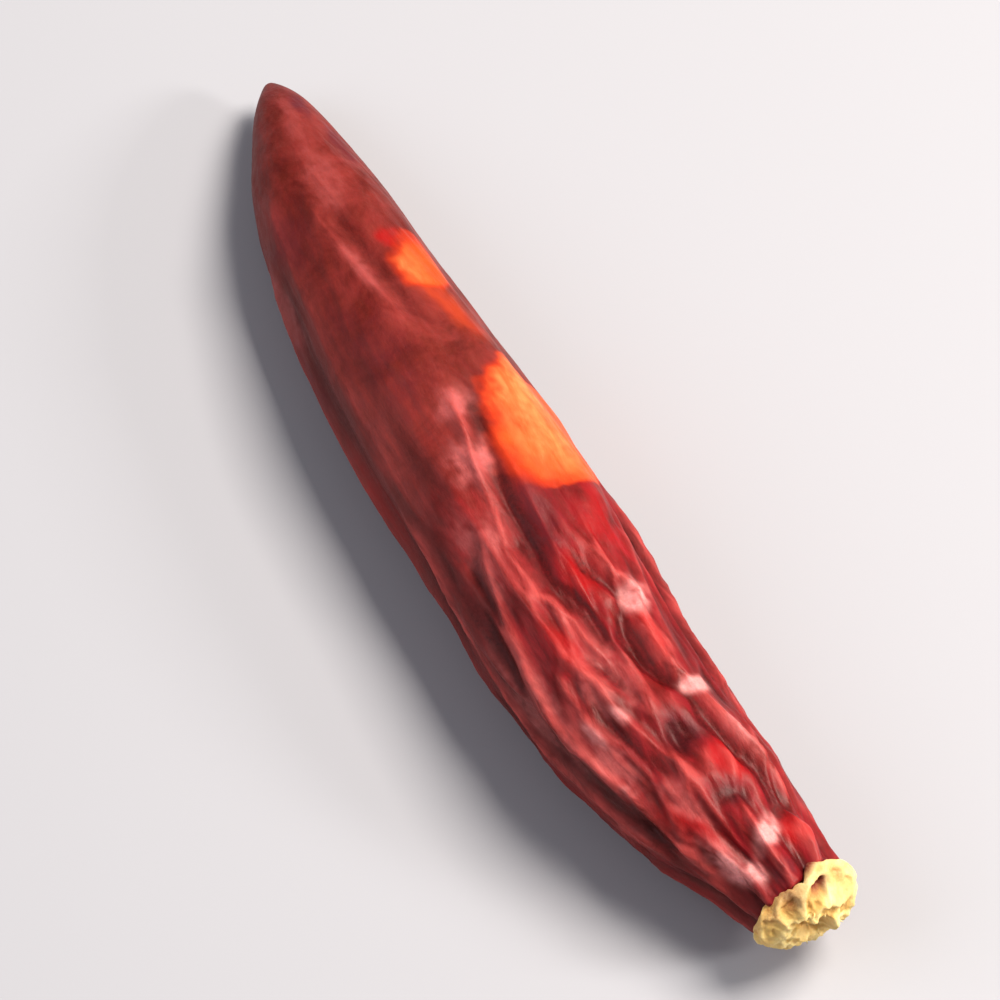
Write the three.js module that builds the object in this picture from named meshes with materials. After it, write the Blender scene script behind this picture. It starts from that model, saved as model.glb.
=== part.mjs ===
// A dried chilli pepper with its stem broken off, lying on its belly.
// Millimetres, +Z up. The pod runs along X, from its tip at -X to its stem end at +X, and it rests on Z = 0.
// The pod is one closed skin. The calyx is the woody base of the stem, which fills the mouth of the pod.
import * as THREE from "three";

// Driving dimensions of the pod.
const POD_LENGTH = 63; // tip to mouth, along X
const POD_WIDTH = 11.9; // side to side, at the widest place
const POD_HEIGHT = 9.6; // belly to back, at the thickest place, before the belly lies flat
const SIDE_BOW = 2.7; // how far the middle bows towards -Y
const TIP_DROP = 2.3; // how far the tip hangs below the middle of the pod
const NOSE_LENGTH = 2.6; // the rounded end of the tip
const BELLY_PRESS = 0.3; // how much the belly lies flat on the surface

// The mouth, where the calyx sits.
const MOUTH_WIDTH = 6.8; // across the rim, side to side
const MOUTH_HEIGHT = 5.7; // across the rim, belly to back
const RIM_WALL = 0.9; // the skin round the mouth
const MOUTH_DEPTH = 1.3;

// The calyx.
const CALYX_GAP = 0.3; // clearance between the calyx and the pod, on every side
const COLLAR_LAP = 0.75; // how far the collar laps over the rim
const COLLAR_THICKNESS = 1.2;
const COLLAR_ROUNDING = 0.35; // of its edge and of its face
const SCAR_WIDTH = 3.0; // the face of the broken stem
const SCAR_RISE = 0.5; // how far it stands out of the collar
const CALYX_LOBES = 5;
const LOBE_RISE = 0.12; // how far each lobe stands out of the collar's mean edge

// How finely the skins are faceted.
const POD_STATIONS = 54;
const POD_SIDES = 60;
const CALYX_SIDES = 30;

// Half width of the pod as a share of its widest, against the share of its length from the tip.
const GIRTH = [
  [0, 0.17],
  [0.055, 0.37],
  [0.11, 0.56],
  [0.22, 0.77],
  [0.32, 0.9],
  [0.43, 0.975],
  [0.6, 1],
  [0.74, 0.945],
  [0.84, 0.87],
  [0.9, 0.79],
  [0.95, 0.67],
  [1, MOUTH_WIDTH / POD_WIDTH],
];

// Sideways place of the pod's middle line, as a share of its bow.
const BOW = [
  [0, 0],
  [0.055, -0.25],
  [0.11, -0.52],
  [0.22, -0.83],
  [0.32, -0.98],
  [0.43, -0.96],
  [0.56, -0.88],
  [0.7, -0.92],
  [0.79, -0.72],
  [0.89, -0.36],
  [0.95, -0.1],
  [1, 0.04],
];

// Long folds in the dried skin. Each has its place round the pod, in degrees from the back and positive
// towards +Y, a drift in degrees over its run, the shares of the length where it starts and ends, its breadth
// in degrees, and how far it rises, in millimetres. A furrow has a negative rise.
const FOLDS = [
  { name: "back ridge", at: -33, drift: 14, from: 0.4, to: 0.88, breadth: 7, rise: 0.4 },
  { name: "back furrow", at: -20, drift: 10, from: 0.42, to: 0.8, breadth: 8, rise: -0.4 },
  { name: "near ridge", at: -67, drift: 8, from: 0.52, to: 0.96, breadth: 7, rise: 0.45 },
  { name: "near furrow", at: -86, drift: 6, from: 0.3, to: 0.94, breadth: 8, rise: -0.5 },
  { name: "far ridge", at: 40, drift: -4, from: 0.5, to: 0.8, breadth: 8, rise: 0.4 },
  { name: "far furrow", at: 22, drift: 6, from: 0.28, to: 0.86, breadth: 9, rise: -0.35 },
  { name: "shoulder furrow", at: 72, drift: -8, from: 0.16, to: 0.7, breadth: 12, rise: -0.45 },
  { name: "under furrow", at: 128, drift: 10, from: 0.2, to: 0.92, breadth: 12, rise: -0.6 },
  { name: "under ridge", at: 108, drift: 6, from: 0.35, to: 0.97, breadth: 8, rise: 0.3 },
  { name: "low furrow", at: -128, drift: -8, from: 0.25, to: 0.9, breadth: 12, rise: -0.6 },
];

// Round dimples where the skin has sunk, by share of the length and degrees round the pod.
const DIMPLES = [
  { along: 0.765, at: 10, breadth: 2.4, sink: 0.55 },
  { along: 0.85, at: 0, breadth: 2.0, sink: 0.45 },
  { along: 0.8, at: 66, breadth: 2.4, sink: 0.5 },
  { along: 0.46, at: -48, breadth: 4.0, sink: 0.35 },
];

// The skin gathers in small pleats where it closes on the mouth.
const PLEATS = 9;
const PLEAT_RISE = 0.28;
const PLEATS_FROM = 0.86; // share of the length where they start
const PLEATS_FULL = 0.97; // and where they are at their deepest

// Shares of the length where the surface changes.
const FOLD_FADE = 0.12; // a fold rises from nothing over this much
const SMOOTH_TIP = 0.12; // no fold is at its full height before this
const SMOOTH_RIM = 0.99; // no pleat reaches further than the rim, which starts here
const FLATTENS_FROM = 0.8; // the section takes the mouth's shape from here on
const TIP_HANGS_TO = 0.55; // the tip hangs below the middle of the pod up to here

// A smooth curve through [x, y] pairs.
function curveThrough(pairs) {
  const curve = new THREE.CubicInterpolant(
    pairs.map(([x]) => x),
    pairs.map(([, y]) => y),
    1,
    [0],
  );
  return (x) => curve.evaluate(x)[0];
}

const girthAt = curveThrough(GIRTH);
const bowAt = curveThrough(BOW);

// 1 in the middle of a bell and 0 well away from it.
const bell = (distance, breadth) => Math.exp(-((distance / breadth) ** 2));

// The difference between two angles in degrees, between -180 and 180.
const turnBetween = (a, b) => THREE.MathUtils.euclideanModulo(a - b + 180, 360) - 180;

// Radius of the outer skin as a share of the widest half width: the girth, closed by a rounded nose.
function skinShare(u) {
  const toNose = Math.max(0, 1 - (u * POD_LENGTH) / NOSE_LENGTH);
  return girthAt(u) * Math.sqrt(1 - toNose ** 2);
}

// How far the folds, dimples and pleats move the skin outwards, in millimetres.
function relief(u, degrees) {
  let rise = 0;
  for (const fold of FOLDS) {
    const along = THREE.MathUtils.clamp((u - fold.from) / (fold.to - fold.from), 0, 1);
    const start = THREE.MathUtils.smoothstep(u, fold.from, fold.from + FOLD_FADE);
    const end = 1 - THREE.MathUtils.smoothstep(u, fold.to - FOLD_FADE, fold.to);
    const aside = turnBetween(degrees, fold.at + fold.drift * along);
    rise += fold.rise * start * end * bell(aside, fold.breadth);
  }
  for (const dimple of DIMPLES) {
    const lengthways = (u - dimple.along) * POD_LENGTH;
    const round = THREE.MathUtils.degToRad(turnBetween(degrees, dimple.at)) * (POD_WIDTH / 2) * girthAt(u);
    rise -= dimple.sink * bell(Math.hypot(lengthways, round), dimple.breadth / 2);
  }
  const gathered = THREE.MathUtils.smoothstep(u, PLEATS_FROM, PLEATS_FULL);
  rise += PLEAT_RISE * gathered * Math.cos(PLEATS * THREE.MathUtils.degToRad(degrees));
  const pastTip = THREE.MathUtils.smoothstep(u, 0, SMOOTH_TIP);
  const beforeRim = 1 - THREE.MathUtils.smoothstep(u, SMOOTH_RIM, 1);
  return rise * pastTip * beforeRim;
}

// Height of the pod's middle line above the surface: level, with the tip hanging.
function middleHeight(u) {
  const hang = (1 - THREE.MathUtils.clamp(u / TIP_HANGS_TO, 0, 1)) ** 2;
  return POD_HEIGHT / 2 - BELLY_PRESS - TIP_DROP * hang;
}

// The mouth is narrower from belly to back than the pod's own section, so the section flattens towards it.
function heightShare(u) {
  const atMouth = MOUTH_HEIGHT / MOUTH_WIDTH / (POD_HEIGHT / POD_WIDTH);
  return THREE.MathUtils.lerp(1, atMouth, THREE.MathUtils.smoothstep(u, FLATTENS_FROM, 1));
}

// Moves a lathed body onto the pod: the lathe's axis becomes the pod's bowed middle line, its rings become
// the pod's sections, and its skin takes the folds. A ring's radius is in shares of the pod's half width.
function bendOntoPod(lathed, folded) {
  const place = lathed.getAttribute("position");
  for (let i = 0; i < place.count; i++) {
    const u = place.getY(i) / POD_LENGTH;
    const along = THREE.MathUtils.clamp(u, 0, 1);
    const share = Math.hypot(place.getX(i), place.getZ(i));
    const angle = Math.atan2(-place.getX(i), place.getZ(i));
    const out = share > 0 ? folded(u, angle, share) : 0;
    const halfWidth = (share * POD_WIDTH) / 2 + out;
    const halfHeight = ((share * POD_HEIGHT) / 2) * heightShare(along) + out;
    place.setXYZ(
      i,
      u * POD_LENGTH,
      SIDE_BOW * bowAt(along) + halfWidth * Math.sin(angle),
      Math.max(0, middleHeight(along) + halfHeight * Math.cos(angle)),
    );
  }
  lathed.computeVertexNormals();
  return lathed;
}

const rimShare = MOUTH_WIDTH / POD_WIDTH;
const wallShare = (2 * RIM_WALL) / POD_WIDTH;
const gapShare = (2 * CALYX_GAP) / POD_WIDTH;
const throatShare = rimShare - wallShare;

function makePod() {
  const profile = [new THREE.Vector2(0, 0)];
  for (let i = 1; i < POD_STATIONS; i++) {
    const u = (1 - Math.cos((Math.PI * i) / POD_STATIONS)) / 2;
    profile.push(new THREE.Vector2(skinShare(u), u * POD_LENGTH));
  }
  // Over the rounded rim, down the throat and across its floor.
  const rounding = RIM_WALL / 4;
  profile.push(
    new THREE.Vector2(rimShare - wallShare / 4, POD_LENGTH),
    new THREE.Vector2(throatShare + wallShare / 4, POD_LENGTH),
    new THREE.Vector2(throatShare, POD_LENGTH - rounding),
    new THREE.Vector2(throatShare, POD_LENGTH - MOUTH_DEPTH),
    new THREE.Vector2(0, POD_LENGTH - MOUTH_DEPTH),
  );
  // The outer skin is folded and the throat, which is narrower than the rim, is smooth.
  const onSkin = (u, angle, share) => {
    const inThroat = u > PLEATS_FROM && share < rimShare;
    return inThroat ? 0 : relief(u, THREE.MathUtils.radToDeg(angle));
  };
  const material = new THREE.MeshStandardMaterial({ color: "#7d1a1c", roughness: 0.42, metalness: 0 });
  const pod = new THREE.Mesh(bendOntoPod(new THREE.LatheGeometry(profile, POD_SIDES), onSkin), material);
  pod.name = "pod";
  return pod;
}

function makeCalyx() {
  const plug = throatShare - gapShare;
  const collar = throatShare + (2 * COLLAR_LAP) / POD_WIDTH;
  const collarRounding = (2 * COLLAR_ROUNDING) / POD_WIDTH;
  const scar = SCAR_WIDTH / POD_WIDTH;
  const seat = POD_LENGTH - MOUTH_DEPTH + CALYX_GAP;
  const under = POD_LENGTH + CALYX_GAP;
  const face = under + COLLAR_THICKNESS;
  // Out across the end of the plug, up its side, round the collar, and in over the broken stem's hollow face.
  const profile = [
    new THREE.Vector2(0, seat),
    new THREE.Vector2(plug, seat),
    new THREE.Vector2(plug, under),
    new THREE.Vector2(collar - collarRounding, under),
    new THREE.Vector2(collar, under + COLLAR_ROUNDING),
    new THREE.Vector2(collar, face - COLLAR_ROUNDING),
    new THREE.Vector2(collar - collarRounding, face),
    new THREE.Vector2(scar, face),
    new THREE.Vector2(scar * 0.85, face + SCAR_RISE),
    new THREE.Vector2(0, face + SCAR_RISE / 2),
  ];
  const lobed = (u, angle, share) => {
    const onCollar = THREE.MathUtils.smoothstep(share, plug, collar);
    return LOBE_RISE * onCollar * Math.cos(CALYX_LOBES * angle);
  };
  const material = new THREE.MeshStandardMaterial({ color: "#d9a55f", roughness: 0.8, metalness: 0 });
  const calyx = new THREE.Mesh(bendOntoPod(new THREE.LatheGeometry(profile, CALYX_SIDES), lobed), material);
  calyx.name = "calyx";
  return calyx;
}

// The pepper stands on the middle of its bounding box's base.
const pepper = new THREE.Group();
pepper.add(makePod(), makeCalyx());
const middle = new THREE.Box3().setFromObject(pepper, true).getCenter(new THREE.Vector3());
pepper.position.set(-middle.x, -middle.y, 0);

export default pepper;
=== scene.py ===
"""A dried chilli pepper: a folded, waxy red pod, and the straw-coloured calyx that its broken stem left."""
import math

import bpy
import numpy as np
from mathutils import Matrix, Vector, noise
from mathutils.bvhtree import BVHTree


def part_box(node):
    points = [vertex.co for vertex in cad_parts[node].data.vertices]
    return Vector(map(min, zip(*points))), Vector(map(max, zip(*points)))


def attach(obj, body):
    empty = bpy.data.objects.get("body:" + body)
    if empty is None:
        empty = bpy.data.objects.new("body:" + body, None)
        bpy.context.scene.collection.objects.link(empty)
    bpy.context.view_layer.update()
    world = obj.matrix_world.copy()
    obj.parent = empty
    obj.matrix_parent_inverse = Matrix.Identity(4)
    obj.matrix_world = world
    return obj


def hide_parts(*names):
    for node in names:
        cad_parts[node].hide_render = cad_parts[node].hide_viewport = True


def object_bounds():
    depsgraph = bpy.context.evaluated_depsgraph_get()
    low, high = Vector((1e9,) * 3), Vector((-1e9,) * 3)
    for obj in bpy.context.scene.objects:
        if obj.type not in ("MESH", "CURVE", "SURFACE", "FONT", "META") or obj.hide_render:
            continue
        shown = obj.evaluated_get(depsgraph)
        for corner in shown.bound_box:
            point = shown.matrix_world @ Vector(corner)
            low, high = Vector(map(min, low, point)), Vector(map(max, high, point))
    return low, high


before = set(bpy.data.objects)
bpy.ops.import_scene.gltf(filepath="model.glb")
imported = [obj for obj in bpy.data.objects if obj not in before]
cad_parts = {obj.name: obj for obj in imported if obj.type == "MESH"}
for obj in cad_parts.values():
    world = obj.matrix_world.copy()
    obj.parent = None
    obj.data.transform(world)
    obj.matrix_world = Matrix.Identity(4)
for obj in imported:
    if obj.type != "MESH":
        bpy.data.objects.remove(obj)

bl_info = {
    "name": "Dried chilli pepper",
    "version": (1, 0, 0),
    "blender": (4, 5, 0),
    "location": "3D View > Sidebar > Chilli",
    "description": "Builds the skin, calyx and studio of a dried chilli pepper round its packed frame",
    "category": "Add Mesh",
}

MM = 0.001
CAD_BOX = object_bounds()


# ---------------------------------------------------------------- sizes and colours that a user may change

def linear(hex_colour):
    """A colour written as sRGB hex, as the linear red, green, blue and alpha that Blender works in."""
    shares = [int(hex_colour[i:i + 2], 16) / 255 for i in (1, 3, 5)]
    return tuple(s / 12.92 if s <= 0.04045 else ((s + 0.055) / 1.055) ** 2.4 for s in shares) + (1.0,)


def colour(name, description, hex_colour):
    """A colour that a user may change."""
    return bpy.props.FloatVectorProperty(
        name=name, description=description, default=linear(hex_colour), subtype="COLOR", size=4, min=0, max=1)


def length(name, description, millimetres):
    """A length that a user may change."""
    return bpy.props.FloatProperty(
        name=name, description=description, default=millimetres * MM, min=0,
        subtype="DISTANCE", unit="LENGTH")


class PodSettings(bpy.types.PropertyGroup):
    """The pod's wrinkles, the colours of its skin, and the highlights, reflection and shade painted on it."""
    fold_height: length("Fold height", "Height of the sharp folds that net the stem half", 0.25)
    fold_spacing: length("Fold spacing", "Distance between neighbouring folds", 2.3)
    line_height: length("Line height", "Height of the fine lengthways lines between the folds", 0.065)
    crinkle_depth: length("Crinkle depth", "Height of the finest crinkles", 0.04)
    crease_height: length(
        "Crease height", "How much the long creases stand out, 1 mm being as they grew", 1.0)
    deep: colour("Deep skin", "The thick, dark skin of the tip half", "#76241f")
    flush: colour("Flushed skin", "The thinner, redder skin of the stem half", "#991824")
    sun_edge: colour("Sun patch, edge", "The red-orange border of a sun patch", "#b93416")
    sunburnt: colour("Sun patch", "Skin that the sun has bleached to orange", "#dd5822")
    sun_pale: colour("Sun patch, palest", "The palest part of a sun patch", "#f28850")
    brown: colour("Brown mottle", "Brown spots in the thick skin of the tip half", "#652412")
    # Painted highlight: this colour lightens the crests of the folds, where light catches them. It also
    # lightens the thick skin in random blotches.
    crest_highlight: colour("Worn crest", "The skin where it stands up in a fold", "#c65852")
    # Painted shade: this colour darkens the furrows and dents. It also darkens the skin in random blotches.
    furrow: colour("Furrow", "The skin deep in a furrow", "#340406")
    # Painted sky reflection over the wax bloom: this colour greys the near side, which faces away from the
    # light.
    bloom_and_sheen: colour("Bloom", "The dull wax that dusts the skin", "#783836")
    # Partly painted highlight: this colour is dull, dusty skin in some places and a painted highlight on lit
    # facets, ridges and the top of the tip in others.
    dust_and_highlight: colour("Dusty skin", "Skin that has dried dull and pinkish", "#c66a66")
    # Painted highlight: these pale spots stand for glints on the crests, not rubbed skin.
    highlight_spot_colour: colour("Scuff", "Skin that has been rubbed pale", "#f6a6a0")
    rosy: colour("Clear red", "Thin skin without wax", "#b20c10")
    # Partly painted shade: this colour is dull violet skin, and it also darkens three of the dents as painted
    # shade.
    violet_and_dent_shade: colour("Bruise", "Skin that has dried to a dull violet", "#66242c")


class CalyxSettings(bpy.types.PropertyGroup):
    """The calyx's torn edge, the colours of its dry wood, and the highlight and shade painted on it."""
    crumple_depth: length("Crumple depth", "How deeply the calyx is crumpled", 0.6)
    fibre_length: length("Fibre length", "Length of the fibres torn out with the stem", 0.4)
    fibre_count: bpy.props.IntProperty(
        name="Fibres", description="How many torn fibres stand round the scar", default=26, min=0, max=400)
    straw: colour("Straw", "The dry wood of the calyx", "#e8bf70")
    # Partly painted highlight: this colour is the freshly torn fibres, and it also lights the raised tops of
    # the crumples.
    pale_straw_and_highlight: colour("Pale straw", "Its freshly torn fibres", "#fbe2a2")
    # Partly painted shade: this colour is the browned edge, notch and middle of the scar, and also painted
    # shade in the hollows between the crumples.
    scorched_and_shaded: colour("Browned edge", "Its browned edge and the hollows between its fibres", "#b0662e")
    pit: colour("Pit", "The red flesh that shows through it", "#7a1a18")


class StageSettings(bpy.types.PropertyGroup):
    """The floor, the lights and the camera."""
    floor: colour("Floor", "The plain pale floor", "#b4b2b4")
    focal_length: bpy.props.FloatProperty(
        name="Focal length", description="Of the camera, in millimetres", default=320, min=20, max=1000)
    azimuth: bpy.props.FloatProperty(
        name="Azimuth", description="Of the camera round the pepper",
        default=math.radians(61.4), subtype="ANGLE")
    elevation: bpy.props.FloatProperty(
        name="Elevation", description="Of the camera above the floor",
        default=math.radians(60), subtype="ANGLE")
    key_power: bpy.props.FloatProperty(
        name="Key light", description="Of the large soft light", default=1.0, min=0, subtype="FACTOR")


# ---------------------------------------------------------------- small tools

def smooth(x, start, end):
    """0 before start, 1 after end and an even rise between them."""
    t = np.clip((x - start) / (end - start), 0, 1)
    return t * t * (3 - 2 * t)


def bell(distance, breadth):
    """1 in the middle of a bell and 0 well away from it."""
    return np.exp(-((distance / breadth) ** 2))


def turn_between(a, b):
    """The difference between two angles in degrees, between -180 and 180."""
    return (a - b + 180) % 360 - 180


def blurred(grid, along, around):
    """A grid of rings from tip to mouth, blurred by so many rings and so many steps round each ring."""
    for axis, spread, pad in ((0, along, "edge"), (1, around, "wrap")):
        reach = max(1, int(3 * spread))
        weights = bell(np.arange(-reach, reach + 1), spread * math.sqrt(2))
        weights /= weights.sum()
        width = [(reach, reach) if a == axis else (0, 0) for a in (0, 1)]
        padded = np.pad(grid, width, mode=pad)
        grid = np.apply_along_axis(np.convolve, axis, padded, weights, "valid")
    return grid


def noise_at(points, size, seed):
    """Smooth noise between -1 and 1, with bumps of the given size in millimetres along X, Y and Z."""
    shift = Vector((seed * 17.3, seed * 5.9, seed * 11.1))
    scaled = points.reshape(-1, 3) / np.array(size)
    values = [noise.noise(Vector(p) + shift) for p in scaled.tolist()]
    return np.array(values).reshape(points.shape[:-1])


def ridges_at(points, size, seed, sharpness):
    """Noise with sharp crests and broad hollows, between 0 and 1."""
    return (1 - np.abs(noise_at(points, size, seed)) * 1.4).clip(0, 1) ** sharpness


def cells_at(points, size, seed):
    """How far each point lies from the nearest border between irregular cells of the given size in
    millimetres along X, Y and Z. It is 0 on a border and about 1 in the middle of a cell."""
    shift = Vector((seed * 13.7, seed * 7.1, seed * 3.3))
    scaled = points.reshape(-1, 3) / np.array(size)
    nearest = [noise.voronoi(Vector(p) + shift)[0] for p in scaled.tolist()]
    return np.array([distances[1] - distances[0] for distances in nearest]).reshape(points.shape[:-1])


def make_object(name, points, faces, material, attributes=None):
    """A smooth-shaded mesh object whose points are given in millimetres."""
    mesh = bpy.data.meshes.new(name)
    mesh.from_pydata((points * MM).tolist(), [], faces)
    mesh.polygons.foreach_set("use_smooth", [True] * len(mesh.polygons))
    for attribute, values in (attributes or {}).items():
        layer = mesh.attributes.new(attribute, "FLOAT", "POINT")
        layer.data.foreach_set("value", np.asarray(values, np.float32).ravel())
    mesh.validate()
    mesh.materials.append(material)
    made = bpy.data.objects.new(name, mesh)
    bpy.context.scene.collection.objects.link(made)
    return made


def ring_faces(rings, sides, first=0):
    """Four-sided faces, pointing out, between rings of points that follow each other towards +X."""
    faces = []
    for i in range(rings - 1):
        a, b = first + i * sides, first + (i + 1) * sides
        faces += [(a + j, b + j, b + (j + 1) % sides, a + (j + 1) % sides) for j in range(sides)]
    return faces


def add_node(tree, kind, inputs=None, **settings):
    """Adds a node with its settings, and fills its inputs with values or with links from other sockets."""
    node = tree.nodes.new(kind)
    for name, value in settings.items():
        setattr(node, name, value)
    for name, value in (inputs or {}).items():
        socket = next(s for i, s in enumerate(node.inputs) if name in (i, s.identifier, s.name))
        if isinstance(value, bpy.types.NodeSocket):
            tree.links.new(value, socket)
        else:
            socket.default_value = value
    return node


def new_material(name):
    """An empty node material, its Principled shader and its node tree."""
    material = bpy.data.materials.new(name)
    material.use_nodes = True
    tree = material.node_tree
    return material, tree.nodes["Principled BSDF"], tree


def painted_shares(tree, names):
    """What is painted on the mesh, by the name of each attribute."""
    return {name: add_node(tree, "ShaderNodeAttribute", attribute_name=name).outputs["Fac"] for name in names}


def pattern_of(tree, place, size, detail, roughness, distortion=0.0):
    """A noise pattern with bumps of the given size in millimetres."""
    return add_node(tree, "ShaderNodeTexNoise", {
        "Vector": place, "Scale": 1 / (size * MM), "Detail": detail, "Roughness": roughness,
        "Distortion": distortion}).outputs["Fac"]


def remapped(tree, value, start, end, least, most):
    """A value brought from the range between start and end into that between least and most."""
    return add_node(tree, "ShaderNodeMapRange", {
        "Value": value, "From Min": start, "From Max": end, "To Min": least, "To Max": most}).outputs[0]


def raised(tree, height, strength, depth, normal=None):
    """The normal of a surface that a pattern raises by the given depth in millimetres."""
    inputs = {"Strength": strength, "Distance": depth * MM, "Height": height}
    if normal is not None:
        inputs["Normal"] = normal
    return add_node(tree, "ShaderNodeBump", inputs).outputs["Normal"]


# ---------------------------------------------------------------- the pod

POD_RINGS = 430
POD_SIDES = 212
TIP_CROWDING = 0.03  # rings crowd together over this share of the length at the tip
FACET_BLUR = (5, 3.2)  # rings, and steps round a ring, over which the frame's facets are smoothed away
SKIN_WALL = 0.5  # millimetres, at the mouth
MOUTH_DEPTH = 1.0
LAP_ANGLE = 44  # degrees round from the back, where the calyx laps back over the pod
LAP_BACK = 0.9  # millimetres, and how far
NEAR_SIDE = -86  # degrees round from the back, the middle of the side that is drawn in
FAR_SHOULDER = 78  # degrees round from the back, the middle of the shoulder that is drawn in near the mouth
SHOULDER_SINK = 0.35  # millimetres, and how far
STEM_SHIFT = 0.35  # millimetres that the stem half is shifted towards -Y
CREASE_FADE = 0.05  # share of the length over which a crease fades at each end
RAY_REACH = 20  # millimetres, from well outside the pod

# The rings that roll the skin's edge into the mouth: millimetres inwards and forwards from the edge.
RIM_ROLL = ((0.12, 0.16), (0.3, 0.2), (SKIN_WALL, 0.0), (SKIN_WALL + 0.1, -MOUTH_DEPTH))

# The near edge of the two sun patches, and the middle of the trail between them: shares of the length from
# the tip, and degrees round from the back.
BIG_PATCH = ((0.388, 0.404, 0.426, 0.456, 0.495, 0.53, 0.546, 0.56, 0.572), (96, 50, 30, 15, 3, 1, 8, 24, 80))
SMALL_PATCH = ((0.228, 0.245, 0.27, 0.305, 0.325), (70, 36, 21, 25, 64))
TRAIL = ((0.3, 0.35, 0.4), (38, 48, 52))

# Sharp creases: the path of each as (share of the length from the tip, degrees round from the back, positive
# towards +Y), its height and breadth in millimetres, and the depth of the groove beside it. The groove is on
# its +Y side, or on its -Y side where the depth is negative.
CREASES = [
    # back crease
    {"path": [(0.41, 4), (0.455, -4), (0.5, -14), (0.548, -21), (0.598, -27), (0.65, -22), (0.69, -10),
              (0.76, -6)],
     "height": 0.38, "breadth": 0.6, "groove": 0.36},
    # near crease
    {"path": [(0.56, -38), (0.66, -49), (0.74, -57), (0.79, -62), (0.85, -56), (0.93, -66), (0.97, -76)],
     "height": 0.44, "breadth": 0.5, "groove": -0.3},
    # short crease
    {"path": [(0.71, -38), (0.77, -42), (0.82, -46), (0.88, -42)],
     "height": 0.26, "breadth": 0.45, "groove": 0.16},
    # slant crease
    {"path": [(0.7, -28), (0.76, -23), (0.8, -23), (0.86, -14), (0.9, -16)],
     "height": 0.28, "breadth": 0.5, "groove": 0.2},
    # far crease
    {"path": [(0.6, 22), (0.66, 34), (0.684, 43), (0.72, 34), (0.756, 31), (0.79, 42), (0.84, 44),
              (0.89, 54), (0.95, 60)],
     "height": 0.4, "breadth": 0.5, "groove": -0.42},
    # low crease
    {"path": [(0.48, -74), (0.6, -79), (0.69, -82), (0.77, -88), (0.83, -84), (0.93, -78)],
     "height": 0.34, "breadth": 0.6, "groove": 0.22},
    # tip fold
    {"path": [(0.16, -20), (0.25, -9), (0.316, 2), (0.37, 6)],
     "height": 0.15, "breadth": 0.7, "groove": 0.2},
    # tip side fold
    {"path": [(0.12, -52), (0.26, -58), (0.4, -62), (0.55, -66)],
     "height": 0.14, "breadth": 0.8, "groove": 0.14},
    # near side fold
    {"path": [(0.18, -84), (0.3, -95), (0.44, -98), (0.6, -106), (0.76, -104)],
     "height": 0.2, "breadth": 0.8, "groove": 0.2},
    # hidden side crease
    {"path": [(0.4, 118), (0.55, 104), (0.66, 112), (0.78, 98), (0.93, 104)],
     "height": 0.4, "breadth": 0.55, "groove": 0.36},
    # hidden shoulder crease
    {"path": [(0.56, 78), (0.66, 84), (0.76, 76), (0.88, 82)],
     "height": 0.3, "breadth": 0.5, "groove": -0.26},
    # hidden tip fold
    {"path": [(0.14, 96), (0.26, 108), (0.38, 98), (0.5, 92)],
     "height": 0.16, "breadth": 0.8, "groove": 0.16},
]

# Dents: the place of each, its half length and half width in millimetres, its lean in degrees and its depth.
DENTS = [
    {"at": (0.832, 8), "long": 1.3, "wide": 1.2, "lean": 20, "sink": 0.5},
    {"at": (0.90, 2), "long": 1.0, "wide": 1.0, "lean": -20, "sink": 0.4},
    {"at": (0.93, 38), "long": 1.3, "wide": 0.8, "lean": -30, "sink": 0.35},
    {"at": (0.60, 4), "long": 3.2, "wide": 1.3, "lean": -6, "sink": 0.28},
    {"at": (0.72, 16), "long": 2.8, "wide": 0.7, "lean": 4, "sink": 0.3},
    {"at": (0.72, -102), "long": 2.6, "wide": 1.2, "lean": 8, "sink": 0.35},
    {"at": (0.70, 128), "long": 3.0, "wide": 1.2, "lean": -8, "sink": 0.35},
    {"at": (0.86, 118), "long": 1.8, "wide": 1.1, "lean": 12, "sink": 0.4},
]
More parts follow.
